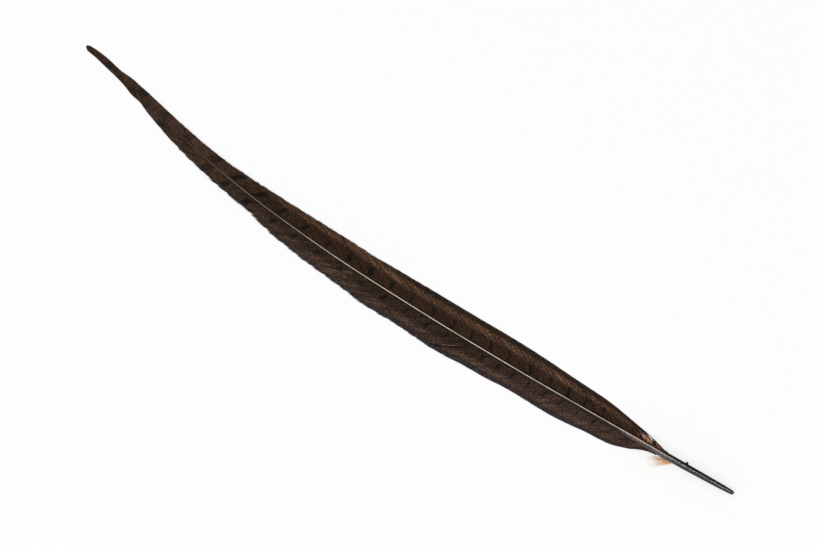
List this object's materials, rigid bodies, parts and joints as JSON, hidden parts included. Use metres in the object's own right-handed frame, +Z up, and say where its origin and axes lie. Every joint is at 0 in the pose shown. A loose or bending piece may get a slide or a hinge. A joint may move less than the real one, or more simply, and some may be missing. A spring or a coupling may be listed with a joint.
{
  "type": "pheasant tail feather",
  "caption": "Long, narrow, bowed brown tail feather of a pheasant with faint dark bars, a bare quill and a tuft of down, lying with its upper side up.",
  "frame": {"origin": "middle of the feather's outline, on the surface that it lies on", "axes": "+X along the feather from its tip to its quill end, +Z up, out of its upper side, and +Y to the side away from its bow"},
  "size_m": [0.532, 0.0406, 0.0047],
  "materials": {
    "horn": "satin",
    "barbs": "matte",
    "down": "matte"
  },
  "bodies": {
    "root": {"shaft": "horn", "vane_right": "barbs", "vane_left": "barbs", "down_tuft": "down"}
  },
  "joints": []
}
